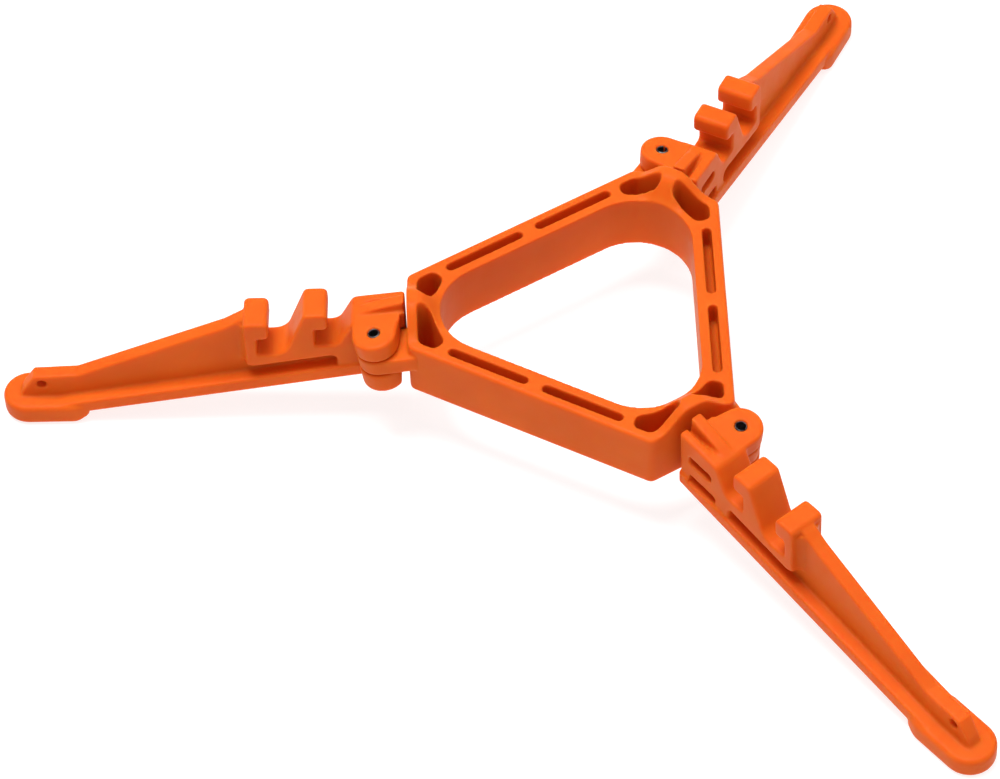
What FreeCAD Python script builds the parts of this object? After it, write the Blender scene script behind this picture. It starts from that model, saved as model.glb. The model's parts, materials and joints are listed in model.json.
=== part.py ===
"""Folding three-leg stand for a screw-top fuel canister.

A triangular hub frame carries one leg at each truncated corner.  Every leg
turns about a hollow spring pin that stands almost upright, from a stop against
the hub (open) until it lies along the next side of the hub (folded).  Two hooks on each leg
take the base rim of a small or a large canister.

Frame: origin on the hub axis at floor level, +Z up, millimetres.  The left
leg points to -X, the front leg to -Y +X, the rear leg to +Y +X.
"""
import FreeCAD, Part
import math
import os

V = FreeCAD.Vector
UP = V(0, 0, 1)
SIDEWAYS = V(0, 1, 0)

# ---- hub -------------------------------------------------------------------
HUB_APOTHEM = 22.0          # axis to each long outer side
HUB_CORNER_REACH = 30.2     # axis to each short corner face
HUB_TOP = 21.6
HUB_BOTTOM = 11.2
OPENING_APOTHEM = 17.15     # axis to each side of the through opening
OPENING_RADIUS = 9.5        # rounding of the opening corners
HUB_EDGE_RADIUS = 1.1       # upright corner rounding
HUB_RIM_ROUND = 0.5         # rounding along the top and bottom outer edges
OUTER_WALL = 1.7
INNER_WALL = 1.6
SLOT_FLOOR_TOP = 17.4       # web between the upper and lower side slots
SLOT_FLOOR_BOTTOM = 15.4
POCKET_FLOOR = 13.4         # corner pockets are open at the top only
SLOT_WIDTH = 1.55
SLOT_LINE = 19.6            # axis to the slot centre line
SLOT_NEAR = 1.3             # slot ends measured along the side from its middle
SLOT_FAR = 15.9
POCKET_START = 18.0         # corner pockets begin here along each side
POCKET_SWELL = 34.0         # where the round inner wall of a pocket starts, degrees
POCKET_TIP = 26.5           # end of the inner wall at the rib, from the axis
DIVIDER_HALF = 1.25         # half width of the rib between a pair of pockets
DIVIDER_SHIFT = 0.25

# ---- raised knuckle over each corner --------------------------------------
HUMP_RISE = 3.8
HUMP_HALF = 6.9
HUMP_FLAT = 1.0             # half width of its level crest
HUMP_SHIFT = 0.4            # crest sits slightly to the hinge side
HUMP_INNER_REACH = 24.2     # where the rise starts, from the axis
HUMP_FULL_REACH = 28.4      # where it reaches full height
HUMP_STEPS = 12
HUMP_SINK = 1.0             # how far the knuckle reaches down into the hub

# ---- hinge -----------------------------------------------------------------
PIN_REACH = 35.7            # hinge axis at the top of the ears, outward from the hub axis
PIN_SIDE = 5.4              # hinge axis, sideways
PIN_RADIUS = 1.05
PIN_BORE = 0.84
PIN_SLIT = 0.35
PIN_INSET = 0.10            # pin ends sit just inside the ears
HINGE_TILT = 7.5            # hinge axis leans outward at the top, degrees
HINGE_CLEAR = 0.07          # radial running clearance in the hub lug
EAR_RADIUS = 3.65
EAR_TOP = 22.6
EAR_SLOT_TOP = 19.1
EAR_SLOT_BOTTOM = 15.7
EAR_BOTTOM = 11.8
EAR_HUB_EDGE = 31.5         # straight edge of the ears next to the hub
EAR_TURN = 168.0            # end of their round side, degrees from straight out
HUB_GAP_EDGE = 30.6         # nothing on the leg comes nearer to the hub than this
ROOT_NARROW = 1.8           # beyond this sideways the root stops at the ears' edge
LUG_RADIUS = 3.55
LUG_FACE_GAP = 0.15         # above and below the lug inside the leg slot
SLOT_CLEAR = 0.30           # around the lug inside the leg slot
LUG_ROOT_REACH = 26.6
LUG_SWEEP = 14.0            # reach of the room the lug sweeps
FOLD_RELIEF = 28.0          # slant of its far side, degrees

# ---- leg -------------------------------------------------------------------
ROOT_START = 30.75          # leg end face, next to the hub corner face
ROOT_TOP_END = 39.3
ROOT_FOOT = 41.9            # foot of the slope behind the root block
BLOCK_HALF = 3.25           # half width of root and hook block
ROOT_FALL = -0.13           # fall of the root block's top towards the foot
RIDGE_RISE = ((30.75, 1.6), (32.0, 1.45), (34.0, 1.15), (36.0, 0.75), (38.9, 0.0))
RIDGE = (-0.85, 1.15)       # ridge that carries on from the hub knuckle, sideways
GROOVE = (-1.6, -0.85)      # groove beside the ridge, sideways from and to
GROOVE_DEPTH = 1.3
GROOVE_FLOOR_END = 33.5
GROOVE_END = 37.6

SEAT_SMALL = 45.6           # hook wall behind a 90 mm base rim
SEAT_SMALL_FLOOR = 17.0
HOOK_SMALL_NOSE = 43.3
HOOK_SMALL_UNDER = 20.8
HOOK_SMALL_TOP = 24.3
HOOK_SMALL_TOP_END = 47.1
HOOK_SMALL_BACK = (47.7, 22.9)
SEAT_LARGE_START = 50.7
SEAT_LARGE = 55.25          # hook wall behind a 110 mm base rim
SEAT_LARGE_FLOOR = 15.0
HOOK_LARGE_NOSE = 53.1
HOOK_LARGE_UNDER = 18.7
HOOK_LARGE_TOP = 22.3
BLOCK_END = 57.2
HOOK_EDGE_ROUND = 0.75

SLOPE = -0.175              # legs fall away from the hub towards the feet
FLANGE_HALF = 3.7
FLANGE_AT = 42.5            # station where the two heights below are measured
FLANGE_TOP = 12.1
FLANGE_BOTTOM = 9.5
RAIL_HEIGHT = 2.5           # open height between flange and hook block
RECESS_START = 42.2
WEB_HALF = 1.3
WEB_RISE = ((57.2, 22.1), (57.9, 21.35), (59.0, 20.6), (60.6, 19.62))
WEB_BEND = (85.8, 8.6)      # WEB_RISE curves out of the outer hook's back to this straight
WEB_END = (93.1, 8.3)
GUSSET = 1.9                # radius that blends the web into the hook's back
GUSSET_TOP = 20.6
WEB_NOSE = 96.0

FOOT_START = 84.2
FOOT_FULL = 86.7
FOOT_TIP = 98.7
FOOT_HALF = 4.3
FOOT_TOP = 3.9
FOOT_EDGE_ROUND = 0.8

WEB_HOLE = (91.9, 6.6)      # small cross hole in the web's end
WEB_HOLE_RADIUS = 0.85

SIDE_POCKET_DEPTH = 3.0
SIDE_POCKET_START = 32.9
UPPER_POCKET_END = 38.2
UPPER_POCKET_Z = (17.55, 19.35)
LOWER_POCKET_END = 39.1
LOWER_POCKET_Z = (13.1, 14.9)
SIDE_POCKET_SLOPE = -0.07

# ---- how the legs stand ----------------------------------------------------
OPEN_STOP = -2.0            # leg angle from straight out, at the open stop
LEGS = (
    ("left", 180.0, -1.5),
    ("front", 300.0, 8.2),
    ("rear", 60.0, 1.9),
)


FAR = 60.0                  # safely outside the object
HINGE_AXIS = V(math.sin(math.radians(HINGE_TILT)), 0, math.cos(math.radians(HINGE_TILT)))


# ---- basic solids ----------------------------------------------------------
def wire(points):
    return Part.makePolygon([V(*p) for p in points] + [V(*points[0])])


def prism_up(points, z0, z1):
    """Plan outline pulled up from z0 to z1."""
    face = Part.Face(wire([(x, y, z0) for x, y in points]))
    return face.extrude(V(0, 0, z1 - z0))


def soft_prism(corners, z0, z1):
    """Plan outline of (x, y, rounding) corners, pulled up from z0 to z1."""
    edges = []
    last = None
    first = None
    n = len(corners)
    for i in range(n):
        at = V(corners[i][0], corners[i][1], z0)
        before = V(corners[i - 1][0], corners[i - 1][1], z0)
        after = V(corners[(i + 1) % n][0], corners[(i + 1) % n][1], z0)
        u = (before - at).normalize()
        v = (after - at).normalize()
        half = u.getAngle(v) / 2.0
        cut = corners[i][2] / math.tan(half)
        middle = (u + v).normalize()
        centre = at + middle * (corners[i][2] / math.sin(half))
        start = at + u * cut
        end = at + v * cut
        if last is None:
            first = start
        else:
            edges.append(Part.makeLine(last, start))
        edges.append(Part.Arc(start, centre - middle * corners[i][2], end).toShape())
        last = end
    edges.append(Part.makeLine(last, first))
    return Part.Face(Part.Wire(edges)).extrude(V(0, 0, z1 - z0))


def prism_side(points, y0, y1):
    """Side outline (outward, height) pulled sideways from y0 to y1."""
    face = Part.Face(wire([(x, y0, z) for x, z in points]))
    return face.extrude(V(0, y1 - y0, 0))


def box(x0, x1, y0, y1, z0, z1):
    return Part.makeBox(x1 - x0, y1 - y0, z1 - z0, V(x0, y0, z0))


def turned(shape, angle, at=(0, 0)):
    s = shape.copy()
    s.rotate(V(at[0], at[1], 0), UP, angle)
    return s


def leaned(shape):
    """Lean a hinge feature, drawn upright, with the hinge axis."""
    s = shape.copy()
    s.rotate(V(PIN_REACH, PIN_SIDE, EAR_TOP), SIDEWAYS, HINGE_TILT)
    return s


def upright_edges(shape, test=lambda p: True):
    out = []
    for e in shape.Edges:
        a = e.Vertexes[0].Point
        b = e.Vertexes[-1].Point
        if abs(a.x - b.x) + abs(a.y - b.y) < 1e-6 and abs(a.z - b.z) > 0.5 and test(a):
            out.append(e)
    return out


def rounded(shape, radius, edges):
    """Fillet the edges, or keep the shape as it is where they do not take it."""
    if not edges:
        return shape
    try:
        out = shape.makeFillet(radius, edges)
        if out.isValid() and out.Volume > 0:
            return out
    except Exception:
        pass
    return shape


# ---- hub pieces ------------------------------------------------------------
def triangle_points(apothem, reach):
    """Equilateral triangle with its corners cut at the given reach."""
    half = (2.0 * apothem - reach) / math.sqrt(3.0)
    pts = []
    for k in range(3):
        a = math.radians(180 + 120 * k)
        for side in (-half, half):
            pts.append((reach * math.cos(a) - side * math.sin(a),
                        reach * math.sin(a) + side * math.cos(a)))
    return pts


def rounded_triangle(apothem, radius, z0, z1):
    """Triangle with arc corners, as a solid."""
    sharp = prism_up(triangle_points(apothem, 2.0 * apothem - 0.001), z0, z1)
    big = prism_up(triangle_points(apothem - radius, 2.0 * (apothem - radius) - 0.001), z0, z1)
    core = None
    corner_reach = 2.0 * (apothem - radius)
    for k in range(3):
        a = math.radians(180 + 120 * k)
        c = Part.makeCylinder(radius, z1 - z0, V(corner_reach * math.cos(a), corner_reach * math.sin(a), z0))
        core = c if core is None else core.fuse(c)
    for k in range(3):
        a = 240 + 120 * k
        half = (apothem - radius) * math.sqrt(3.0)
        band = box(0, apothem, -half, half, z0, z1)
        core = core.fuse(turned(band, a))
    return core.fuse(big).common(sharp).removeSplitter()


def hump_height(side):
    """Bell-shaped rise over the corner, as a fraction of the full rise."""
    u = max(0.0, abs(side - HUMP_SHIFT) - HUMP_FLAT) / (HUMP_HALF - HUMP_FLAT)
    return 1.0 - u * u * (3.0 - 2.0 * u)


def corner_hump():
    """Raised knuckle of one corner, pointing along +X."""
    low = HUMP_SHIFT - HUMP_HALF
    high = HUMP_SHIFT + HUMP_HALF
    crest = []
    for i in range(HUMP_STEPS + 1):
        y = low + 2.0 * HUMP_HALF * i / HUMP_STEPS
        crest.append(V(HUMP_INNER_REACH, y, HUB_TOP + HUMP_RISE * hump_height(y)))
    left = V(HUMP_INNER_REACH, low, HUB_TOP - HUMP_SINK)
    right = V(HUMP_INNER_REACH, high, HUB_TOP - HUMP_SINK)
    curve = Part.BSplineCurve()
    curve.interpolate(crest)
    edges = [curve.toShape(), Part.makeLine(crest[-1], right),
             Part.makeLine(right, left), Part.makeLine(left, crest[0])]
    face = Part.Face(Part.Wire(edges))
    body = face.extrude(V(HUB_CORNER_REACH - HUMP_INNER_REACH, 0, 0))
    wedge = prism_side([(HUMP_INNER_REACH, HUB_TOP - 2.0 * HUMP_SINK),
                        (HUB_CORNER_REACH, HUB_TOP - 2.0 * HUMP_SINK),
                        (HUB_CORNER_REACH, HUB_TOP + HUMP_RISE + 1.0),
                        (HUMP_FULL_REACH, HUB_TOP + HUMP_RISE + 0.4),
                        (HUMP_INNER_REACH, HUB_TOP)], low, high)
    return body.common(wedge)


def side_slot(t0, t1, z0, z1):
    """Round-ended slot in the side whose outward direction is +X."""
    r = SLOT_WIDTH / 2.0
    s = box(SLOT_LINE - r, SLOT_LINE + r, t0 + r, t1 - r, z0, z1)
    for t in (t0 + r, t1 - r):
        s = s.fuse(Part.makeCylinder(r, z1 - z0, V(SLOT_LINE, t, z0)))
    return s.removeSplitter()


def corner_pocket(side, z0, z1):
    """One of the two cores of the corner that points along +X."""
    wall = HUB_CORNER_REACH - OUTER_WALL
    apothem = HUB_APOTHEM - OUTER_WALL
    radius = OPENING_RADIUS + INNER_WALL
    centre = 2.0 * (OPENING_APOTHEM - OPENING_RADIUS)
    swell = math.radians(POCKET_SWELL)
    lean = math.radians(60.0)
    rib = side * DIVIDER_SHIFT + DIVIDER_HALF

    def along_side(reach, run):
        return (reach * math.cos(lean) + run * math.sin(lean), reach * math.sin(lean) - run * math.cos(lean))

    corners = [(wall, rib, 0.9),
               (wall, (2.0 * apothem - wall) / math.sqrt(3.0), 1.6),
               along_side(apothem, POCKET_START) + (1.2,),
               along_side(OPENING_APOTHEM + INNER_WALL - 0.4, POCKET_START - 0.4) + (1.0,),
               (centre + radius * math.cos(swell), radius * math.sin(swell), 2.0),
               (POCKET_TIP, rib, 1.2)]
    return soft_prism([(x, y * side, r) for x, y, r in corners], z0, z1)


def make_hub():
    body = prism_up(triangle_points(HUB_APOTHEM, HUB_CORNER_REACH), HUB_BOTTOM, HUB_TOP)
    body = rounded(body, HUB_EDGE_RADIUS, upright_edges(body))
    flat = [e for e in body.Edges if abs(e.BoundBox.ZLength) < 1e-6]
    body = rounded(body, HUB_RIM_ROUND, flat)
    for k in range(3):
        body = body.fuse(turned(corner_hump(), 180.0 + 120.0 * k))
    for k in range(3):
        body = body.fuse(turned(make_lug(), 180.0 + 120.0 * k))
    low = HUB_BOTTOM - 1.0
    high = HUB_TOP + HUMP_RISE + 2.0
    body = body.cut(rounded_triangle(OPENING_APOTHEM, OPENING_RADIUS, low, high))
    for k in range(3):
        for z0, z1 in ((SLOT_FLOOR_TOP, high), (low, SLOT_FLOOR_BOTTOM)):
            for t0, t1 in ((SLOT_NEAR, SLOT_FAR), (-SLOT_FAR, -SLOT_NEAR)):
                body = body.cut(turned(side_slot(t0, t1, z0, z1), 120.0 * k))
        for side in (-1, 1):
            body = body.cut(turned(corner_pocket(side, POCKET_FLOOR, high), 180.0 + 120.0 * k))
        hole = Part.makeCylinder(PIN_RADIUS + HINGE_CLEAR, HUB_TOP, V(PIN_REACH, PIN_SIDE, HUB_BOTTOM / 2.0))
        body = body.cut(turned(leaned(hole), 180.0 + 120.0 * k))
    return body.removeSplitter()


def make_lug():
    """Flat tongue of one corner, pointing along +X."""
    z0 = EAR_SLOT_BOTTOM + LUG_FACE_GAP
    z1 = EAR_SLOT_TOP - LUG_FACE_GAP
    plate = box(LUG_ROOT_REACH, PIN_REACH, PIN_SIDE - LUG_RADIUS, PIN_SIDE + LUG_RADIUS, z0, z1)
    plate = leaned(plate.fuse(Part.makeCylinder(LUG_RADIUS, z1 - z0, V(PIN_REACH, PIN_SIDE, z0))))
    inside = turned(prism_up(triangle_points(HUB_APOTHEM, HUB_CORNER_REACH), 0.0, HUB_TOP), 180.0)
    beyond = box(HUB_CORNER_REACH - HUB_EDGE_RADIUS, 60.0, -60.0, 60.0, 0.0, HUB_TOP + 20.0)
    return plate.common(inside).fuse(plate.common(beyond)).removeSplitter()


# ---- leg pieces, each drawn pointing along +X ------------------------------
def flange_z(height, x):
    return height + SLOPE * (x - FLANGE_AT)


def root_top(x):
    """Height of the root block's top, which falls away like the hinge ears."""
    return EAR_TOP + ROOT_FALL * (x - PIN_REACH)


def block_outline():
    """Side outline of root block, both seats and both hooks."""
    rail = FLANGE_TOP + RAIL_HEIGHT
    return [(ROOT_START, flange_z(FLANGE_BOTTOM, ROOT_START)),
            (ROOT_START, root_top(ROOT_START)),
            (ROOT_TOP_END, root_top(ROOT_TOP_END)),
            (ROOT_FOOT, SEAT_SMALL_FLOOR),
            (SEAT_SMALL, SEAT_SMALL_FLOOR),
            (SEAT_SMALL, HOOK_SMALL_UNDER),
            (HOOK_SMALL_NOSE, HOOK_SMALL_UNDER),
            (HOOK_SMALL_NOSE, HOOK_SMALL_TOP),
            (HOOK_SMALL_TOP_END, HOOK_SMALL_TOP),
            HOOK_SMALL_BACK,
            (SEAT_LARGE_START, SEAT_LARGE_FLOOR),
            (SEAT_LARGE, SEAT_LARGE_FLOOR),
            (SEAT_LARGE, HOOK_LARGE_UNDER),
            (HOOK_LARGE_NOSE, HOOK_LARGE_UNDER),
            (HOOK_LARGE_NOSE, HOOK_LARGE_TOP),
            (BLOCK_END, HOOK_LARGE_TOP),
            (BLOCK_END, flange_z(rail, BLOCK_END)),
            (RECESS_START, flange_z(rail, RECESS_START)),
            (RECESS_START, flange_z(FLANGE_BOTTOM, RECESS_START))]


def hook_edges(shape):
    """Cross edges of the hook noses, hook tops, block end and recess end."""
    spots = [(HOOK_SMALL_NOSE, HOOK_SMALL_TOP), (HOOK_SMALL_TOP_END, HOOK_SMALL_TOP),
             HOOK_SMALL_BACK, (HOOK_LARGE_NOSE, HOOK_LARGE_TOP),
             (BLOCK_END, HOOK_LARGE_TOP), (ROOT_TOP_END, root_top(ROOT_TOP_END)),
             (BLOCK_END, flange_z(FLANGE_TOP + RAIL_HEIGHT, BLOCK_END)),
             (RECESS_START, flange_z(FLANGE_TOP + RAIL_HEIGHT, RECESS_START))]
    out = []
    for e in shape.Edges:
        a = e.Vertexes[0].Point
        b = e.Vertexes[-1].Point
        if abs(a.x - b.x) > 1e-6 or abs(a.z - b.z) > 1e-6:
            continue
        if any(abs(a.x - x) < 1e-3 and abs(a.z - z) < 1e-3 for x, z in spots):
            out.append(e)
    return out


def make_block():
    shape = prism_side(block_outline(), -BLOCK_HALF, BLOCK_HALF)
    return rounded(shape, HOOK_EDGE_ROUND, hook_edges(shape))


def make_ridge():
    """Low ridge that carries the hub knuckle on across the leg root."""
    base = root_top(ROOT_TOP_END) - 0.5
    crest = [(x, root_top(x) + rise) for x, rise in RIDGE_RISE]
    outline = [(ROOT_START, base)] + crest + [(RIDGE_RISE[-1][0], base)]
    return prism_side(outline, RIDGE[0], RIDGE[1])


def root_groove():
    """Groove beside the ridge, open towards the hub."""
    high = HUB_TOP + HUMP_RISE
    return prism_side([(ROOT_START - 1.0, root_top(ROOT_START) - GROOVE_DEPTH),
                       (ROOT_START - 1.0, high),
                       (GROOVE_END, high),
                       (GROOVE_END, root_top(GROOVE_END)),
                       (GROOVE_FLOOR_END, root_top(GROOVE_FLOOR_END) - GROOVE_DEPTH)],
                      GROOVE[0], GROOVE[1])


def make_flange():
    end = FOOT_FULL
    return prism_side([(ROOT_START, flange_z(FLANGE_BOTTOM, ROOT_START)),
                       (ROOT_START, flange_z(FLANGE_TOP, ROOT_START)),
                       (end, flange_z(FLANGE_TOP, end)),
                       (end, flange_z(FLANGE_BOTTOM, end))], -FLANGE_HALF, FLANGE_HALF)


def make_web():
    hook_floor = SEAT_SMALL_FLOOR - 3.0
    outline = [(RECESS_START - 1.0, flange_z(FLANGE_TOP, RECESS_START) - 0.8),
               (RECESS_START - 1.0, SEAT_SMALL_FLOOR - 1.5),
               (BLOCK_END - 1.0, hook_floor),
               (BLOCK_END - 1.0, WEB_RISE[0][1])]
    outline += list(WEB_RISE)
    outline += [WEB_BEND,
                WEB_END,
                (WEB_NOSE - 1.0, FOOT_TOP + 1.6),
                (WEB_NOSE, FOOT_TOP - 0.8),
                (FOOT_FULL, FOOT_TOP - 0.8)]
    return prism_side(outline, -WEB_HALF, WEB_HALF)


def make_gusset():
    """Hollow-curved blend between the web and the outer hook's back."""
    low = flange_z(FLANGE_TOP + RAIL_HEIGHT, BLOCK_END) + 0.5
    half = WEB_HALF + GUSSET
    end = BLOCK_END + GUSSET
    blend = box(BLOCK_END - 0.5, end, -half, half, low, GUSSET_TOP)
    for side in (-half, half):
        blend = blend.cut(Part.makeCylinder(GUSSET, FAR, V(end, side, 0.0)))
    return blend


def make_foot():
    plan = [(FOOT_START, -FLANGE_HALF), (FOOT_FULL, -FOOT_HALF),
            (FOOT_TIP - FOOT_HALF, -FOOT_HALF), (FOOT_TIP - FOOT_HALF, FOOT_HALF),
            (FOOT_FULL, FOOT_HALF), (FOOT_START, FLANGE_HALF)]
    pad = prism_up(plan, 0.0, FOOT_TOP)
    pad = pad.fuse(Part.makeCylinder(FOOT_HALF, FOOT_TOP, V(FOOT_TIP - FOOT_HALF, 0, 0)))
    pad = pad.removeSplitter()
    heel = prism_side([(FOOT_START - 1.0, flange_z(FLANGE_BOTTOM, FOOT_START) + 0.2),
                       (FOOT_FULL, 0.0), (FOOT_FULL, -2.0), (FOOT_START - 1.0, -2.0)],
                      -10.0, 10.0)
    rim = [e for e in pad.Edges if e.BoundBox.ZLength < 1e-6 and e.BoundBox.ZMin > 1.0
           and e.BoundBox.XMax > FOOT_FULL + 0.5]
    return rounded(pad, FOOT_EDGE_ROUND, rim).cut(heel)


def make_ear(z0, z1):
    """Flat ear with two straight flanks and a round end about the pin."""
    flank = PIN_REACH + EAR_RADIUS
    turn = math.radians(EAR_TURN)
    top = V(PIN_REACH, PIN_SIDE + EAR_RADIUS, z0)
    last = V(PIN_REACH + EAR_RADIUS * math.cos(turn), PIN_SIDE + EAR_RADIUS * math.sin(turn), z0)
    corner = V(EAR_HUB_EDGE, ROOT_NARROW, z0)
    inner = V(EAR_HUB_EDGE, 0, z0)
    outer = V(flank, 0, z0)
    start = V(flank, PIN_SIDE, z0)
    edges = [Part.makeLine(outer, start), Part.Arc(start, top, last).toShape(),
             Part.makeLine(last, corner), Part.makeLine(corner, inner), Part.makeLine(inner, outer)]
    return leaned(Part.Face(Part.Wire(edges)).extrude(V(0, 0, z1 - z0)))


def hub_gap():
    """Room kept free between the leg and the hub corner."""
    near = box(0.0, HUB_GAP_EDGE, -FAR, FAR, 0.0, FAR)
    beside = box(0.0, EAR_HUB_EDGE, ROOT_NARROW, FAR, 0.0, FAR)
    return near.fuse(beside)


def lug_room():
    """Space the hub lug sweeps inside the leg while the leg folds."""
    z0 = EAR_SLOT_BOTTOM
    z1 = EAR_SLOT_TOP
    r = LUG_RADIUS + SLOT_CLEAR
    room = Part.makeCylinder(r, z1 - z0, V(PIN_REACH, PIN_SIDE, z0))
    reach = LUG_SWEEP
    room = room.fuse(box(PIN_REACH - reach, PIN_REACH, PIN_SIDE - r, PIN_SIDE + reach, z0, z1))
    fold = box(PIN_REACH, PIN_REACH + reach, PIN_SIDE - r, PIN_SIDE + reach, z0, z1)
    fold = turned(fold, FOLD_RELIEF, (PIN_REACH, PIN_SIDE))
    return leaned(room.fuse(fold).removeSplitter())


def side_pockets():
    """Two blind cores in the flank of the root block."""
    cut = None
    for end, (z0, z1) in ((UPPER_POCKET_END, UPPER_POCKET_Z), (LOWER_POCKET_END, LOWER_POCKET_Z)):
        drop = SIDE_POCKET_SLOPE * (end - SIDE_POCKET_START)
        shape = prism_side([(SIDE_POCKET_START, z0), (SIDE_POCKET_START, z1),
                            (end, z1 + drop), (end, z0 + drop)],
                           -BLOCK_HALF - 1.0, -BLOCK_HALF + SIDE_POCKET_DEPTH)
        cut = shape if cut is None else cut.fuse(shape)
    return cut


def make_leg():
    leg = make_block().fuse(make_ridge()).fuse(make_flange()).fuse(make_web()).fuse(make_foot())
    leg = leg.fuse(make_gusset())
    leg = leg.fuse(make_ear(EAR_SLOT_TOP, EAR_TOP))
    leg = leg.fuse(make_ear(EAR_BOTTOM, EAR_SLOT_BOTTOM))
    leg = leg.cut(hub_gap())
    leg = leg.cut(lug_room())
    leg = leg.cut(side_pockets())
    leg = leg.cut(root_groove())
    hole = Part.makeCylinder(PIN_RADIUS, EAR_TOP, V(PIN_REACH, PIN_SIDE, EAR_TOP / 2.0))
    leg = leg.cut(leaned(hole))
    cross = Part.makeCylinder(WEB_HOLE_RADIUS, 2.0 * FLANGE_HALF, V(WEB_HOLE[0], -FLANGE_HALF, WEB_HOLE[1]), SIDEWAYS)
    leg = leg.cut(cross)
    return leg.removeSplitter()


def make_pin():
    """Rolled spring pin: a tube with one slit along its length."""
    z0 = EAR_BOTTOM + PIN_INSET
    height = EAR_TOP - EAR_BOTTOM - 2.0 * PIN_INSET
    at = V(PIN_REACH, PIN_SIDE, z0)
    tube = Part.makeCylinder(PIN_RADIUS, height, at)
    tube = tube.cut(Part.makeCylinder(PIN_BORE, height, at))
    slit = box(PIN_REACH, PIN_REACH + 2.0, PIN_SIDE - PIN_SLIT / 2.0, PIN_SIDE + PIN_SLIT / 2.0,
               z0 - 1.0, z0 + height + 1.0)
    return leaned(tube.cut(slit))


def placed(shape, heading, swing):
    s = shape.copy()
    s.rotate(V(PIN_REACH, PIN_SIDE, EAR_TOP), HINGE_AXIS, swing)
    return turned(s, heading)


def main():
    os.makedirs("parts", exist_ok=True)
    nodes = {"hub": make_hub()}
    leg = make_leg()
    pin = make_pin()
    for name, heading, swing in LEGS:
        nodes["leg_" + name] = placed(leg, heading, swing)
        nodes["hinge_pin_" + name] = placed(pin, heading, swing)
    for name, shape in nodes.items():
        shape.exportStep("parts/" + name + ".step")
        b = shape.BoundBox
        print(name, "solids", len(shape.Solids), "valid", shape.isValid(), "volume", round(shape.Volume, 1),
              "box", [round(v, 2) for v in (b.XMin, b.XMax, b.YMin, b.YMax, b.ZMin, b.ZMax)])


main()
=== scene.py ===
"""Looks for the folding canister stand: moulded orange hub and legs on rolled steel hinge pins.

Shapes are drawn in millimetres, each leg and hub corner pointing along +X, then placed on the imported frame.
"""
import bmesh
import bpy
import json
import math
from mathutils import Matrix, Vector


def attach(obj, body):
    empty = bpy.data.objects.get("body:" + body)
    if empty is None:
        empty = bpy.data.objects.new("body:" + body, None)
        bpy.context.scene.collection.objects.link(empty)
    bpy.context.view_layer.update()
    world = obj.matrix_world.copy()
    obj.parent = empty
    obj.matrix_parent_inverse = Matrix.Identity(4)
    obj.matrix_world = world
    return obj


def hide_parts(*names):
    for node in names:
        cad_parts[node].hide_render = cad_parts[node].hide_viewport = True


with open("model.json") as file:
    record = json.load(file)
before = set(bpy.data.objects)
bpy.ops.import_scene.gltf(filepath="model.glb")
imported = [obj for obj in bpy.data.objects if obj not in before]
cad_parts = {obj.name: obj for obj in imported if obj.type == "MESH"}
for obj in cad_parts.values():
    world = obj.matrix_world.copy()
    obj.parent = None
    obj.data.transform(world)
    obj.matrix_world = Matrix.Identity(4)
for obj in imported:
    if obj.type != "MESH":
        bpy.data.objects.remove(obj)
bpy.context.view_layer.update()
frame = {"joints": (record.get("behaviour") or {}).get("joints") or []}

MM = 0.001

# ---- hub ------------------------------------------------------------------
HUB_APOTHEM = 22.0
HUB_CORNER_REACH = 30.2
HUB_TOP = 21.6
HUB_BOTTOM = 11.2
OPENING_APOTHEM = 17.15
OPENING_RADIUS = 9.5
OUTER_WALL = 1.7
INNER_WALL = 1.6
SLOT_FLOOR_TOP = 17.4
SLOT_FLOOR_BOTTOM = 15.4
POCKET_FLOOR = 13.4
SLOT_WIDTH = 1.55
SLOT_LINE = 19.6
SLOT_NEAR = 1.3
SLOT_FAR = 15.9
POCKET_START = 18.0
POCKET_SWELL = math.radians(34.0)
POCKET_TIP = 26.5
DIVIDER_HALF = 1.25
DIVIDER_SHIFT = 0.25
HUMP_RISE = 3.8
HUMP_HALF = 6.9
HUMP_FLAT = 1.0
HUMP_SHIFT = 0.4
HUMP_INNER_REACH = 24.2
HUMP_FULL_REACH = 28.4

# ---- hinge ----------------------------------------------------------------
PIN_REACH = 35.7
PIN_SIDE = 5.4
PIN_RADIUS = 1.05
PIN_BORE = 0.84
PIN_INSET = 0.10
PIN_CHAMFER = 0.18
PIN_SLIT = 0.35             # opening of the rolled wall, in radians
HINGE_TILT = math.radians(7.5)
HINGE_CLEAR = 0.07
EAR_RADIUS = 3.65
EAR_TOP = 22.6
EAR_SLOT_TOP = 19.1
EAR_SLOT_BOTTOM = 15.7
EAR_BOTTOM = 11.8
LUG_RADIUS = 3.55
LUG_FACE_GAP = 0.15
LUG_ROOM = 14.0             # how far the tongue's slot is cut beyond the pin
SLOT_CLEAR = 0.30
FOLD_RELIEF = math.radians(28.0)
OPEN_STOP = -2.0
EAR_HUB_EDGE = 31.5
EAR_ROUND = (math.radians(4.0), math.radians(168.0))
HUB_GAP_EDGE = 30.6
ROOT_NARROW = 1.8

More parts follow.
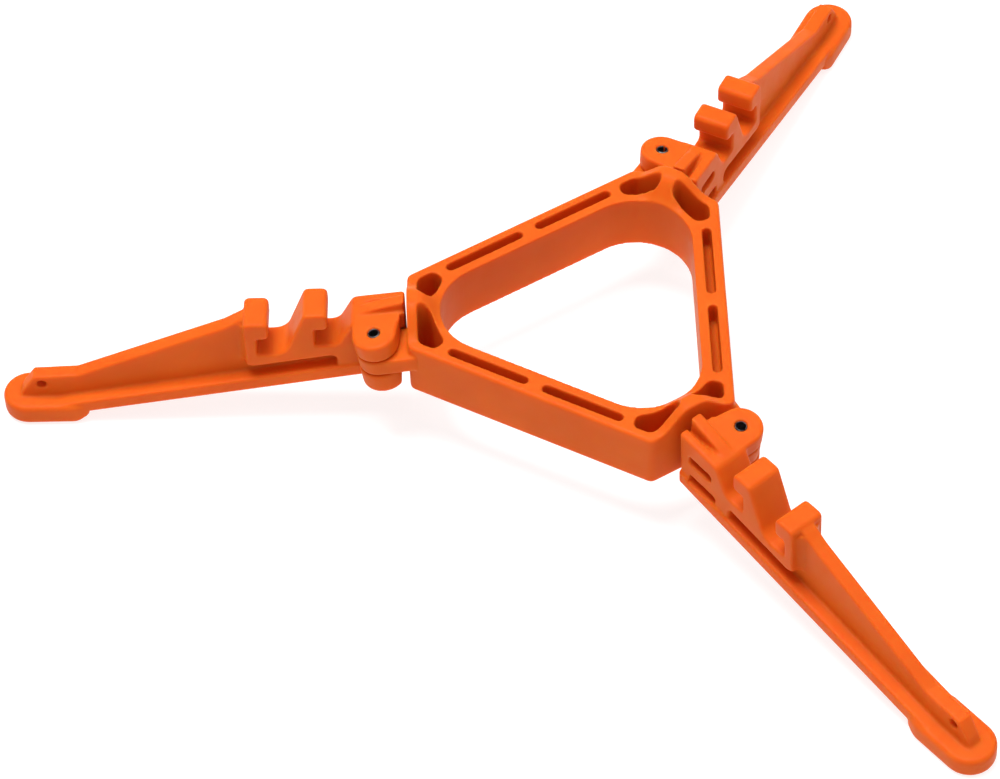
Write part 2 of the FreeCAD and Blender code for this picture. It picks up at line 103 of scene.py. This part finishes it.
# ---- leg ------------------------------------------------------------------
ROOT_START = 30.75
ROOT_TOP_END = 39.3
ROOT_FOOT = 41.9
BLOCK_HALF = 3.25
ROOT_FALL = -0.13
RIDGE_RISE = ((30.8, 1.7), (32.0, 1.5), (34.0, 1.2), (36.0, 0.8), (38.9, -0.1))
RIDGE = (-0.9, 1.2)
GROOVE = (-1.65, -0.9)
GROOVE_DEPTH = 1.3
GROOVE_FLOOR_END = 33.5
GROOVE_END = 37.6
SEAT_SMALL = 45.6
SEAT_SMALL_FLOOR = 17.0
HOOK_SMALL_NOSE = 43.3
HOOK_SMALL_UNDER = 20.8
HOOK_SMALL_TOP = 24.3
HOOK_SMALL_TOP_END = 47.1
SEAT_LARGE_START = 50.7
SEAT_LARGE = 55.25
SEAT_LARGE_FLOOR = 15.0
HOOK_LARGE_NOSE = 53.1
HOOK_LARGE_UNDER = 18.7
HOOK_LARGE_TOP = 22.3
BLOCK_END = 57.2
SLOPE = -0.175
FLANGE_HALF = 3.7
FLANGE_AT = 42.5
FLANGE_TOP = 12.1
FLANGE_BOTTOM = 9.5
RAIL_HEIGHT = 2.5
RECESS_START = 42.2
WEB_HALF = 1.3
WEB_RISE = ((56.2, 22.2), (57.9, 21.35), (59.0, 20.6), (60.6, 19.62))
WEB_BEND = (85.8, 8.6)
WEB_END = (93.1, 8.3)
GUSSET = 1.9
GUSSET_TOP = 20.6
WEB_NOSE = 96.0
FOOT_START = 84.2
FOOT_FULL = 86.7
FOOT_TIP = 98.7
FOOT_HALF = 4.3
FOOT_TOP = 3.9
FOOT_BLEND = 2.5            # how far the flange's top runs out over the foot
WEB_HOLE = (91.9, 6.6)
WEB_HOLE_RADIUS = 0.85
SIDE_POCKET_START = 32.9
SIDE_POCKETS = ((38.2, 17.55, 19.35), (39.1, 13.1, 14.9))
SIDE_POCKET_DEPTH = 3.0

# ---- surface finish -------------------------------------------------------
VOXEL = 0.2                 # grain of the mesh that softens the moulded edges
SOFTEN_STEPS = 8
EDGE = 0.55
SMALL_EDGE = 0.3


# ---- outlines and prisms --------------------------------------------------
def rounded_corner(before, at, after, radius):
    """Points of the arc that replaces one corner of an outline."""
    p, a, b = Vector(at), Vector(before), Vector(after)
    u, v = (a - p).normalized(), (b - p).normalized()
    half = u.angle(v) / 2.0
    if radius <= 0 or half > math.radians(88):
        return [p]
    cut = min(radius / math.tan(half), 0.49 * (a - p).length, 0.49 * (b - p).length)
    r = cut * math.tan(half)
    centre = p + (u + v).normalized() * (r / math.sin(half))
    start, end = p + u * cut - centre, p + v * cut - centre
    turn = start.angle_signed(end)
    steps = max(2, int(abs(turn) / math.radians(14)) + 1)
    out = []
    for i in range(steps + 1):
        t = -turn * i / steps
        out.append(centre + Vector((start.x * math.cos(t) - start.y * math.sin(t),
                                    start.x * math.sin(t) + start.y * math.cos(t))))
    return out


def outline(corners):
    """Outline from corners given as (a, b) or (a, b, rounding)."""
    pts = [c[:2] for c in corners]
    radii = [c[2] if len(c) > 2 else 0.0 for c in corners]
    out = []
    n = len(pts)
    for i in range(n):
        out += rounded_corner(pts[i - 1], pts[i], pts[(i + 1) % n], radii[i])
    return out


PLACE = {"up": lambda a, b, h: (a, b, h),
         "side": lambda a, b, h: (a, h, b),
         "along": lambda a, b, h: (h, a, b)}


def prism(points, lo, hi, way="up", edge=0.0):
    """Closed mesh of an outline drawn across one direction and pulled from lo to hi."""
    place = PLACE[way]
    bm = bmesh.new()
    low = [bm.verts.new(place(p[0], p[1], lo)) for p in points]
    high = [bm.verts.new(place(p[0], p[1], hi)) for p in points]
    n = len(points)
    caps = [bm.faces.new(low), bm.faces.new(high)]
    for i in range(n):
        bm.faces.new((low[i], low[(i + 1) % n], high[(i + 1) % n], high[i]))
    bmesh.ops.recalc_face_normals(bm, faces=bm.faces)
    if edge > 0:
        rims = {e for c in caps for e in c.edges}
        bmesh.ops.bevel(bm, geom=list(rims), offset=edge, segments=3, profile=0.5, affect="EDGES",
                        clamp_overlap=True)
    return finish_piece(bm)


def finish_piece(bm):
    bmesh.ops.triangulate(bm, faces=[f for f in bm.faces if len(f.verts) > 4])
    bmesh.ops.recalc_face_normals(bm, faces=bm.faces)
    me = bpy.data.meshes.new("piece")
    bm.to_mesh(me)
    bm.free()
    ob = bpy.data.objects.new("piece", me)
    bpy.context.scene.collection.objects.link(ob)
    return ob


def slab(x0, x1, y0, y1, z0, z1, edge=0.0):
    return prism([(x0, y0), (x1, y0), (x1, y1), (x0, y1)], z0, z1, "up", edge)


def ring_points(x, y, radius, start=0.0, stop=2.0 * math.pi, steps=48):
    full = abs(stop - start) > 2.0 * math.pi - 1e-6
    count = steps if full else steps + 1
    return [(x + radius * math.cos(start + (stop - start) * i / steps),
             y + radius * math.sin(start + (stop - start) * i / steps)) for i in range(count)]


def disc(x, y, radius, z0, z1, edge=0.0):
    return prism(ring_points(x, y, radius), z0, z1, "up", edge)


def moved(ob, matrix):
    ob.data.transform(matrix)
    return ob


def turned(ob, angle):
    return moved(ob, Matrix.Rotation(angle, 4, "Z"))


def leaned(ob):
    """Lean a hinge feature, drawn upright, with the hinge axis."""
    at = Matrix.Translation((PIN_REACH, PIN_SIDE, EAR_TOP))
    return moved(ob, at @ Matrix.Rotation(HINGE_TILT, 4, "Y") @ at.inverted())


# ---- joining, cutting and softening ---------------------------------------
def bake(ob):
    deps = bpy.context.evaluated_depsgraph_get()
    me = bpy.data.meshes.new_from_object(ob.evaluated_get(deps))
    ob.modifiers.clear()
    ob.data = me


def combine(base, operation, tool):
    m = base.modifiers.new(operation, "BOOLEAN")
    m.operation = operation
    m.solver = "EXACT"
    m.object = tool


def sculpted(name, adds, cuts):
    """One soft-edged moulding from overlapping pieces and the shapes cut from them."""
    base = adds[0]
    base.name = name
    base.data.name = name
    for operation, tools in (("UNION", adds[1:]), ("DIFFERENCE", cuts)):
        for tool in tools:
            combine(base, operation, tool)
    grain = base.modifiers.new("grain", "REMESH")
    grain.mode = "VOXEL"
    grain.voxel_size = VOXEL
    soft = base.modifiers.new("soft", "SMOOTH")
    soft.factor = 0.5
    soft.iterations = SOFTEN_STEPS
    bake(base)
    for tool in adds[1:] + cuts:
        bpy.data.objects.remove(tool)
    base.data.transform(Matrix.Scale(MM, 4))
    base.data.shade_smooth()
    return base


# ---- hub ------------------------------------------------------------------
def triangle(apothem, reach, rounding):
    """Triangle with cut corners; the first corner points along +X."""
    half = (2.0 * apothem - reach) / math.sqrt(3.0)
    pts = []
    for k in range(3):
        a = math.radians(120 * k)
        for side in (-half, half):
            pts.append((reach * math.cos(a) - side * math.sin(a),
                        reach * math.sin(a) + side * math.cos(a), rounding))
    return pts


def round_triangle(apothem, radius):
    """Triangle whose corners are arcs; the first corner points along +X."""
    reach = 2.0 * (apothem - radius)
    pts = []
    for k in range(3):
        a = math.radians(120 * k)
        pts += ring_points(reach * math.cos(a), reach * math.sin(a), radius,
                           a - math.pi / 3, a + math.pi / 3, 20)
    return pts


def side_slot(t0, t1, z0, z1):
    r = SLOT_WIDTH / 2.0
    pts = (ring_points(SLOT_LINE, t1 - r, r, 0, math.pi, 10)
           + ring_points(SLOT_LINE, t0 + r, r, math.pi, 2 * math.pi, 10))
    return prism(pts, z0, z1)


def corner_pocket(side):
    """One of the two cores of the corner that points along +X, seen in plan."""
    wall = HUB_CORNER_REACH - OUTER_WALL
    apothem = HUB_APOTHEM - OUTER_WALL
    radius = OPENING_RADIUS + INNER_WALL
    centre = 2.0 * (OPENING_APOTHEM - OPENING_RADIUS)
    rib = side * DIVIDER_SHIFT + DIVIDER_HALF
    lean = math.pi / 3

    def along_side(reach, run):
        return (reach * math.cos(lean) + run * math.sin(lean),
                reach * math.sin(lean) - run * math.cos(lean))

    corners = [(wall, rib, 0.9),
               (wall, (2.0 * apothem - wall) / math.sqrt(3.0), 1.6),
               along_side(apothem, POCKET_START) + (1.2,),
               along_side(OPENING_APOTHEM + INNER_WALL - 0.4, POCKET_START - 0.4) + (1.0,),
               (centre + radius * math.cos(POCKET_SWELL), radius * math.sin(POCKET_SWELL), 2.0),
               (POCKET_TIP, rib, 1.2)]
    return outline([(x, y * side, r) for x, y, r in corners])


def hump():
    """Raised knuckle over one corner, as a closed height field."""
    bm = bmesh.new()
    across, along = 26, 12
    base = HUB_TOP - 1.5
    end = HUB_CORNER_REACH
    top, low = [], []
    for i in range(along + 1):
        x = HUMP_INNER_REACH + (end - HUMP_INNER_REACH) * i / along
        t = min(1.0, (x - HUMP_INNER_REACH) / (HUMP_FULL_REACH - HUMP_INNER_REACH))
        rise = HUMP_RISE * t * t * (3.0 - 2.0 * t)
        row_top, row_low = [], []
        for j in range(across + 1):
            y = HUMP_SHIFT - HUMP_HALF + 2.0 * HUMP_HALF * j / across
            u = max(0.0, abs(y - HUMP_SHIFT) - HUMP_FLAT) / (HUMP_HALF - HUMP_FLAT)
            bell = 1.0 - u * u * (3.0 - 2.0 * u)
            row_top.append(bm.verts.new((x, y, HUB_TOP - 0.02 + rise * bell)))
            row_low.append(bm.verts.new((x, y, base)))
        top.append(row_top)
        low.append(row_low)
    for i in range(along):
        for j in range(across):
            bm.faces.new((top[i][j], top[i + 1][j], top[i + 1][j + 1], top[i][j + 1]))
            bm.faces.new((low[i][j], low[i][j + 1], low[i + 1][j + 1], low[i + 1][j]))
    for i in range(along):
        for j in (0, across):
            bm.faces.new((top[i][j], low[i][j], low[i + 1][j], top[i + 1][j]))
    for j in range(across):
        for i in (0, along):
            bm.faces.new((top[i][j], top[i][j + 1], low[i][j + 1], low[i][j]))
    return finish_piece(bm)


def lug():
    """Tongue of one corner, cut off where it would reach into the corner's pockets."""
    z0 = EAR_SLOT_BOTTOM + LUG_FACE_GAP
    z1 = EAR_SLOT_TOP - LUG_FACE_GAP
    back = HUB_CORNER_REACH - 2.6
    pts = ring_points(PIN_REACH, PIN_SIDE, LUG_RADIUS, -math.pi / 2, math.pi / 2, 24)
    pts += [(back, PIN_SIDE + LUG_RADIUS), (back, PIN_SIDE - LUG_RADIUS)]
    whole = leaned(prism(pts, z0, z1, "up", SMALL_EDGE))
    trim = prism(outline(triangle(HUB_APOTHEM - 0.6, HUB_CORNER_REACH - 0.3, 0.0)), 0.0, 30.0)
    keep = slab(HUB_CORNER_REACH - 1.2, 60.0, -30.0, 30.0, 0.0, 40.0)
    combine(keep, "UNION", trim)
    bake(keep)
    combine(whole, "INTERSECT", keep)
    bake(whole)
    for tool in (trim, keep):
        bpy.data.objects.remove(tool)
    return whole


def make_hub():
    low, high = HUB_BOTTOM - 2.0, HUB_TOP + HUMP_RISE + 3.0
    adds = [prism(outline(triangle(HUB_APOTHEM, HUB_CORNER_REACH, 1.2)), HUB_BOTTOM, HUB_TOP, "up", EDGE)]
    cuts = [prism(round_triangle(OPENING_APOTHEM, OPENING_RADIUS), low, high)]
    for k in range(3):
        a = math.radians(120 * k)
        adds.append(turned(hump(), a))
        adds.append(turned(lug(), a))
        for side in (-1, 1):
            cuts.append(turned(prism(corner_pocket(side), POCKET_FLOOR, high), a))
        hole = disc(PIN_REACH, PIN_SIDE, PIN_RADIUS + HINGE_CLEAR, HUB_BOTTOM / 2.0, EAR_TOP + 5.0)
        cuts.append(turned(leaned(hole), a))
        for t0, t1 in ((SLOT_NEAR, SLOT_FAR), (-SLOT_FAR, -SLOT_NEAR)):
            for z0, z1 in ((SLOT_FLOOR_TOP, high), (low, SLOT_FLOOR_BOTTOM)):
                cuts.append(turned(side_slot(t0, t1, z0, z1), a + math.pi))
    hub = sculpted("hub_moulding", adds, cuts)
    hub.data.transform(Matrix.Rotation(math.pi, 4, "Z"))
    return hub


# ---- leg ------------------------------------------------------------------
def flange_z(height, x):
    return height + SLOPE * (x - FLANGE_AT)


def root_top(x):
    return EAR_TOP + ROOT_FALL * (x - PIN_REACH)


def block():
    rail = FLANGE_TOP + RAIL_HEIGHT
    inside = FLANGE_BOTTOM + 0.4
    pts = [(ROOT_START, flange_z(inside, ROOT_START)),
           (ROOT_START, root_top(ROOT_START), 0.4),
           (ROOT_TOP_END, root_top(ROOT_TOP_END), 1.4),
           (ROOT_FOOT, SEAT_SMALL_FLOOR, 2.2),
           (SEAT_SMALL, SEAT_SMALL_FLOOR, 0.4),
           (SEAT_SMALL, HOOK_SMALL_UNDER, 0.4),
           (HOOK_SMALL_NOSE, HOOK_SMALL_UNDER, 0.8),
           (HOOK_SMALL_NOSE, HOOK_SMALL_TOP, 0.9),
           (HOOK_SMALL_TOP_END, HOOK_SMALL_TOP, 1.0),
           (SEAT_LARGE_START, SEAT_LARGE_FLOOR, 3.0),
           (SEAT_LARGE, SEAT_LARGE_FLOOR, 0.4),
           (SEAT_LARGE, HOOK_LARGE_UNDER, 0.4),
           (HOOK_LARGE_NOSE, HOOK_LARGE_UNDER, 0.8),
           (HOOK_LARGE_NOSE, HOOK_LARGE_TOP, 0.9),
           (BLOCK_END, HOOK_LARGE_TOP, 0.9),
           (BLOCK_END, flange_z(rail, BLOCK_END), 1.2),
           (RECESS_START, flange_z(rail, RECESS_START), 1.0),
           (RECESS_START, flange_z(inside, RECESS_START))]
    return prism(outline(pts), -BLOCK_HALF, BLOCK_HALF, "side", EDGE)


def lug_sweep():
    """Plan of the room the hub's tongue needs from the open stop to the folded leg."""
    r = LUG_RADIUS + SLOT_CLEAR
    far, fold = LUG_ROOM, FOLD_RELIEF
    c, s = math.cos(fold), math.sin(fold)
    pts = [(-far, far), (-far, -r)]
    pts += ring_points(0.0, 0.0, r, -math.pi / 2, fold - math.pi / 2, 8)
    pts += [(far * c + r * s, far * s - r * c), (far * c - far * s, far * s + far * c)]
    return [(PIN_REACH + x, PIN_SIDE + y) for x, y in pts]


def ear_plan():
    """D-shaped plan of the hinge ears: two nearly straight flanks and a round end."""
    pts = [(EAR_HUB_EDGE, 0.0), (PIN_REACH + EAR_RADIUS, 0.0)]
    pts += ring_points(PIN_REACH, PIN_SIDE, EAR_RADIUS, EAR_ROUND[0], EAR_ROUND[1], 26)
    return pts + [(EAR_HUB_EDGE, ROOT_NARROW)]


def gusset_plan():
    """Hollow-curved blend between the web and the outer hook's back."""
    half, end = WEB_HALF + GUSSET - 0.1, BLOCK_END + GUSSET - 0.05
    back = BLOCK_END - 0.5
    curve = ring_points(end, -half, GUSSET, math.pi, math.pi / 2, 8)
    return [(back, -half)] + curve + [(x, -y) for x, y in curve[::-1]] + [(back, half)]


def flange():
    """Sloping foot rail of the leg; its top runs out smoothly over the foot."""
    start = ROOT_START + 0.03
    bend = FOOT_START - 1.0
    pts = [(start, flange_z(FLANGE_BOTTOM, start)),
           (start, flange_z(FLANGE_TOP, start)),
           (bend, flange_z(FLANGE_TOP, bend)),
           (FOOT_FULL + FOOT_BLEND, FOOT_TOP - 0.02),
           (FOOT_FULL, flange_z(FLANGE_BOTTOM, FOOT_FULL))]
    return prism(pts, -FLANGE_HALF, FLANGE_HALF, "side", SMALL_EDGE)


def ridge():
    """Low tapering rib on top of the root, beside the groove."""
    base = root_top(ROOT_TOP_END) - 0.5
    crest = [(x, root_top(x) + rise) for x, rise in RIDGE_RISE]
    return prism([(crest[0][0], base)] + crest + [(crest[-1][0], base)],
                 RIDGE[0], RIDGE[1], "side", 0.25)


def web():
    """Tall thin wall from the hooks down to the foot."""
    back = RECESS_START - 1.0
    pts = [(back, flange_z(FLANGE_TOP, RECESS_START) - 0.8),
           (back, SEAT_SMALL_FLOOR - 1.5),
           (WEB_RISE[0][0], SEAT_SMALL_FLOOR - 3.0)]
    pts += list(WEB_RISE)
    pts += [WEB_BEND, WEB_END,
            (WEB_NOSE - 1.0, FOOT_TOP + 1.6), (WEB_NOSE, FOOT_TOP - 0.8),
            (FOOT_FULL, FOOT_TOP - 0.8)]
    return prism(pts, -WEB_HALF, WEB_HALF, "side", 0.3)


def gusset():
    bottom = flange_z(FLANGE_TOP + RAIL_HEIGHT, BLOCK_END) + 0.5
    return prism(gusset_plan(), bottom, GUSSET_TOP)


def foot():
    """Flat pad with a round tip."""
    pts = [(FOOT_START, -FLANGE_HALF, 1.0), (FOOT_FULL, -FOOT_HALF, 2.0)]
    tip = ring_points(FOOT_TIP - FOOT_HALF, 0.0, FOOT_HALF, -math.pi / 2, math.pi / 2, 18)
    pts += [(x, y, 0.0) for x, y in tip]
    pts += [(FOOT_FULL, FOOT_HALF, 2.0), (FOOT_START, FLANGE_HALF, 1.0)]
    return prism(outline(pts), 0.0, FOOT_TOP, "up", 0.8)


def hinge_cuts():
    """Slot for the tongue, room beside the hub's corner, and the pin's hole."""
    near = ROOT_START - 4.0
    low = EAR_BOTTOM - 6.0
    return [leaned(prism(lug_sweep(), EAR_SLOT_BOTTOM, EAR_SLOT_TOP)),
            slab(near, EAR_HUB_EDGE, ROOT_NARROW, BLOCK_HALF + 8.0, low, EAR_TOP + 4.0),
            slab(near, HUB_GAP_EDGE, -BLOCK_HALF - 1.0, ROOT_NARROW + 1.0, low, EAR_TOP + 5.0),
            leaned(disc(PIN_REACH, PIN_SIDE, PIN_RADIUS, EAR_BOTTOM - 4.0, EAR_TOP + 4.0))]


def side_pocket(end, z0, z1):
    """Shallow pocket in the root's flat side, following the leg's slope a little."""
    start = SIDE_POCKET_START
    drop = SLOPE * 0.4 * (end - start)
    pts = [(start, z0, 0.4), (start, z1, 0.4), (end, z1 + drop, 0.8), (end, z0 + drop, 0.8)]
    return prism(outline(pts), -BLOCK_HALF - 1.0, -BLOCK_HALF + SIDE_POCKET_DEPTH, "side")


def groove():
    """Groove in the root's top, shallower towards the hooks."""
    high = HUB_TOP + HUMP_RISE
    start = ROOT_START - 1.0
    pts = [(start, root_top(ROOT_START) - GROOVE_DEPTH), (start, high),
           (GROOVE_END, high), (GROOVE_END, root_top(GROOVE_END)),
           (GROOVE_FLOOR_END, root_top(GROOVE_FLOOR_END) - GROOVE_DEPTH)]
    return prism(pts, GROOVE[0], GROOVE[1], "side")


def heel_cut():
    """Takes away what the flange leaves below its slope and below the sole."""
    start = FOOT_START - 2.0
    pts = [(start, flange_z(FLANGE_BOTTOM, FOOT_START) + 0.45), (FOOT_FULL, 0.0),
           (FOOT_FULL, -3.0), (start, -3.0)]
    return prism(pts, -10.0, 10.0, "side")


def web_hole():
    return prism(ring_points(*WEB_HOLE, WEB_HOLE_RADIUS, steps=20), -3.0, 3.0, "side")


def make_leg():
    adds = [block(), flange(), ridge(), web(), gusset(), foot()]
    for z0, z1 in ((EAR_SLOT_TOP, EAR_TOP), (EAR_BOTTOM, EAR_SLOT_BOTTOM)):
        adds.append(leaned(prism(ear_plan(), z0, z1, "up", 0.5)))
    cuts = hinge_cuts() + [side_pocket(*sizes) for sizes in SIDE_POCKETS]
    cuts += [groove(), heel_cut(), web_hole()]
    return sculpted("leg_moulding", adds, cuts)


# ---- pin ------------------------------------------------------------------
def make_pin():
    """Rolled spring pin: a C-shaped wall with chamfered ends."""
    z0, z1 = EAR_BOTTOM + PIN_INSET, EAR_TOP - PIN_INSET
    narrow, run = PIN_RADIUS - PIN_CHAMFER, 2.0 * PIN_CHAMFER
    levels = ((z0, narrow), (z0 + run, PIN_RADIUS), (z1 - run, PIN_RADIUS), (z1, narrow))
    start, stop = PIN_SLIT / 2, 2 * math.pi - PIN_SLIT / 2
    steps = 40
    bm = bmesh.new()
    rings = []
    for z, r in levels:
        outer = ring_points(PIN_REACH, PIN_SIDE, r, start, stop, steps)
        inner = ring_points(PIN_REACH, PIN_SIDE, PIN_BORE, start, stop, steps)
        rings.append([bm.verts.new((x, y, z)) for x, y in outer + inner[::-1]])
    n = len(rings[0])
    for a, b in zip(rings, rings[1:]):
        for i in range(n):
            bm.faces.new((a[i], a[(i + 1) % n], b[(i + 1) % n], b[i]))
    half = n // 2
    for ring in (rings[0], rings[-1]):
        for i in range(half - 1):
            bm.faces.new((ring[i], ring[i + 1], ring[n - 2 - i], ring[n - 1 - i]))
    pin = leaned(finish_piece(bm))
    pin.data.transform(Matrix.Scale(MM, 4))
    pin.data.shade_smooth()
    return pin


# ---- materials ------------------------------------------------------------
def new_material(name):
    mat = bpy.data.materials.new(name)
    mat.use_nodes = True
    nodes, links = mat.node_tree.nodes, mat.node_tree.links
    return mat, nodes, links, nodes["Principled BSDF"]


def noise(nodes, links, coords, scale, detail=4.0, rough=0.5):
    n = nodes.new("ShaderNodeTexNoise")
    n.inputs["Scale"].default_value = scale
    n.inputs["Detail"].default_value = detail
    n.inputs["Roughness"].default_value = rough
    links.new(coords.outputs["Object"], n.inputs["Vector"])
    return n


def grey(value):
    return (value, value, value, 1)


def ramp(nodes, links, source, stops):
    r = nodes.new("ShaderNodeValToRGB")
    while len(r.color_ramp.elements) < len(stops):
        r.color_ramp.elements.new(0.5)
    for e, (pos, colour) in zip(r.color_ramp.elements, stops):
        e.position = pos
        e.color = colour
    links.new(source, r.inputs["Fac"])
    return r


def orange_plastic():
    mat, nodes, links, shader = new_material("orange_plastic")
    coords = nodes.new("ShaderNodeTexCoord")
    flow = noise(nodes, links, coords, 55.0, 3.0, 0.55)
    colour = ramp(nodes, links, flow.outputs["Fac"],
                  ((0.30, (0.61, 0.094, 0.007, 1)), (0.55, (0.66, 0.107, 0.008, 1)),
                   (0.75, (0.71, 0.121, 0.009, 1))))
    links.new(colour.outputs["Color"], shader.inputs["Base Color"])
    patch = noise(nodes, links, coords, 260.0, 4.0, 0.6)
    gloss = ramp(nodes, links, patch.outputs["Fac"],
                 ((0.25, grey(0.40)), (0.75, grey(0.56))))
    links.new(gloss.outputs["Color"], shader.inputs["Roughness"])
    grain = noise(nodes, links, coords, 2600.0, 2.0, 0.5)
    wave = noise(nodes, links, coords, 320.0, 2.0, 0.5)
    fine = nodes.new("ShaderNodeBump")
    fine.inputs["Strength"].default_value = 0.16
    fine.inputs["Distance"].default_value = 0.00006
    broad = nodes.new("ShaderNodeBump")
    broad.inputs["Strength"].default_value = 0.25
    broad.inputs["Distance"].default_value = 0.00015
    links.new(grain.outputs["Fac"], fine.inputs["Height"])
    links.new(wave.outputs["Fac"], broad.inputs["Height"])
    links.new(broad.outputs["Normal"], fine.inputs["Normal"])
    links.new(fine.outputs["Normal"], shader.inputs["Normal"])
    shader.inputs["Subsurface Weight"].default_value = 0.6
    shader.inputs["Subsurface Radius"].default_value = (1.0, 0.15, 0.05)
    shader.inputs["Subsurface Scale"].default_value = 0.0035
    shader.inputs["Specular IOR Level"].default_value = 0.08
    return mat


def pin_steel():
    mat, nodes, links, shader = new_material("pin_steel")
    coords = nodes.new("ShaderNodeTexCoord")
    mill = noise(nodes, links, coords, 1500.0, 3.0, 0.6)
    colour = ramp(nodes, links, mill.outputs["Fac"],
                  ((0.3, (0.10, 0.10, 0.105, 1)), (0.7, (0.26, 0.26, 0.27, 1))))
    links.new(colour.outputs["Color"], shader.inputs["Base Color"])
    gloss = ramp(nodes, links, mill.outputs["Fac"],
                 ((0.3, grey(0.28)), (0.7, grey(0.48))))
    links.new(gloss.outputs["Color"], shader.inputs["Roughness"])
    shader.inputs["Metallic"].default_value = 1.0
    return mat


def floor_paper():
    mat, nodes, links, shader = new_material("floor_paper")
    coords = nodes.new("ShaderNodeTexCoord")
    fibre = noise(nodes, links, coords, 40.0, 4.0, 0.6)
    colour = ramp(nodes, links, fibre.outputs["Fac"],
                  ((0.2, grey(0.30)), (0.8, grey(0.34))))
    links.new(colour.outputs["Color"], shader.inputs["Base Color"])
    shader.inputs["Roughness"].default_value = 0.9
    shader.inputs["Specular IOR Level"].default_value = 0.0
    shader.inputs["Emission Color"].default_value = (1.0, 1.0, 1.0, 1)
    shader.inputs["Emission Strength"].default_value = 0.80
    return mat


# ---- put the pieces on the frame ------------------------------------------
def wear(ob, mat, body, node):
    ob.data.materials.clear()
    ob.data.materials.append(mat)
    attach(ob, body)
    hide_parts(node)


def leg_places():
    """Where each leg stands: body name and matrix, read from the frame's hinges."""
    drop = (EAR_TOP - EAR_BOTTOM) / 2.0
    reach = PIN_REACH - drop * math.sin(HINGE_TILT)
    lead = math.atan2(PIN_SIDE, reach)
    axis = Vector((math.sin(HINGE_TILT), 0.0, math.cos(HINGE_TILT)))
    at = Matrix.Translation(Vector((PIN_REACH, PIN_SIDE, EAR_TOP)) * MM)
    for joint in frame["joints"]:
        x, y = joint["pos_m"][:2]
        heading = math.atan2(y, x) - lead
        swing = math.radians(OPEN_STOP - joint["range_deg"][0])
        place = (Matrix.Rotation(heading, 4, "Z")
                 @ at @ Matrix.Rotation(swing, 4, axis) @ at.inverted())
        yield joint["child"], place


def copy_of(ob, name):
    new = bpy.data.objects.new(name, ob.data.copy())
    bpy.context.scene.collection.objects.link(new)
    return new


def build():
    plastic, steel = orange_plastic(), pin_steel()
    hub = make_hub()
    wear(hub, plastic, "hub", "hub")
    leg, pin = make_leg(), make_pin()
    for body, place in leg_places():
        side = body.split("_")[1]
        one_leg = copy_of(leg, "leg_moulding_" + side)
        one_leg.data.transform(place)
        wear(one_leg, plastic, body, "leg_" + side)
        one_pin = copy_of(pin, "spring_pin_" + side)
        one_pin.data.transform(place)
        wear(one_pin, steel, body, "hinge_pin_" + side)
    for spare in (leg, pin):
        bpy.data.objects.remove(spare)


# ---- stage, light and camera, in metres -----------------------------------
FLOOR_HALF = 3.0
FLOOR_LEVEL = -0.0002
LIGHTS = (("key", (-0.22, 0.10, 1.25), 0.6, 17.5),
          ("fill", (0.4, -0.1, 1.3), 0.9, 4.0))
WORLD_STRENGTH = 0.42


def make_floor():
    """Light table under the stand, a plain white ground that glows."""
    bm = bmesh.new()
    steps = 8
    marks = [FLOOR_HALF * (2.0 * i / steps - 1.0) for i in range(steps + 1)]
    grid = [[bm.verts.new((x, y, FLOOR_LEVEL)) for y in marks] for x in marks]
    for i in range(steps):
        for j in range(steps):
            bm.faces.new((grid[i][j], grid[i + 1][j], grid[i + 1][j + 1], grid[i][j + 1]))
    floor = finish_piece(bm)
    floor.name = "floor"
    floor.data.materials.append(floor_paper())


def area_light(name, place, size, power):
    """Round lamp turned towards the origin."""
    data = bpy.data.lights.new(name, "AREA")
    data.shape = "DISK"
    data.size = size
    data.energy = power
    lamp = bpy.data.objects.new(name, data)
    lamp.location = place
    lamp.rotation_euler = (-Vector(place)).to_track_quat("-Z", "Y").to_euler()
    bpy.context.scene.collection.objects.link(lamp)


def make_light():
    for name, place, size, power in LIGHTS:
        area_light(name, place, size, power)
    world = bpy.data.worlds.new("studio")
    world.use_nodes = True
    back = world.node_tree.nodes["Background"]
    back.inputs["Color"].default_value = (1.0, 1.0, 1.0, 1)
    back.inputs["Strength"].default_value = WORLD_STRENGTH
    bpy.context.scene.world = world
    bpy.context.scene.view_settings.view_transform = "Standard"


CAMERA_TARGET = Vector((-14.1, -46.6, 54.4)) * MM
CAMERA_DISTANCE = 599.7 * MM
CAMERA_AZIMUTH = math.radians(-89.458)
CAMERA_ELEVATION = math.radians(49.009)
CAMERA_ROLL = math.radians(-2.649)
CAMERA_LENS = 144.47
CAMERA_SHIFT = (-0.0069, 0.00096)


def make_camera():
    data = bpy.data.cameras.new("camera")
    data.lens = CAMERA_LENS
    data.sensor_width = 36.0
    data.shift_x, data.shift_y = CAMERA_SHIFT
    data.clip_start = 0.01
    data.clip_end = 20.0
    away = Vector((math.cos(CAMERA_ELEVATION) * math.cos(CAMERA_AZIMUTH),
                   math.cos(CAMERA_ELEVATION) * math.sin(CAMERA_AZIMUTH),
                   math.sin(CAMERA_ELEVATION)))
    right = Vector((0, 0, 1)).cross(away).normalized()
    up = away.cross(right)
    c, s = math.cos(CAMERA_ROLL), math.sin(CAMERA_ROLL)
    right, up = right * c + up * s, up * c - right * s
    cam = bpy.data.objects.new("camera", data)
    cam.matrix_world = (Matrix.Translation(CAMERA_TARGET + away * CAMERA_DISTANCE)
                        @ Matrix((right, up, away)).transposed().to_4x4())
    bpy.context.scene.collection.objects.link(cam)
    bpy.context.scene.camera = cam


build()
make_floor()
make_light()
make_camera()
bpy.context.view_layer.update()
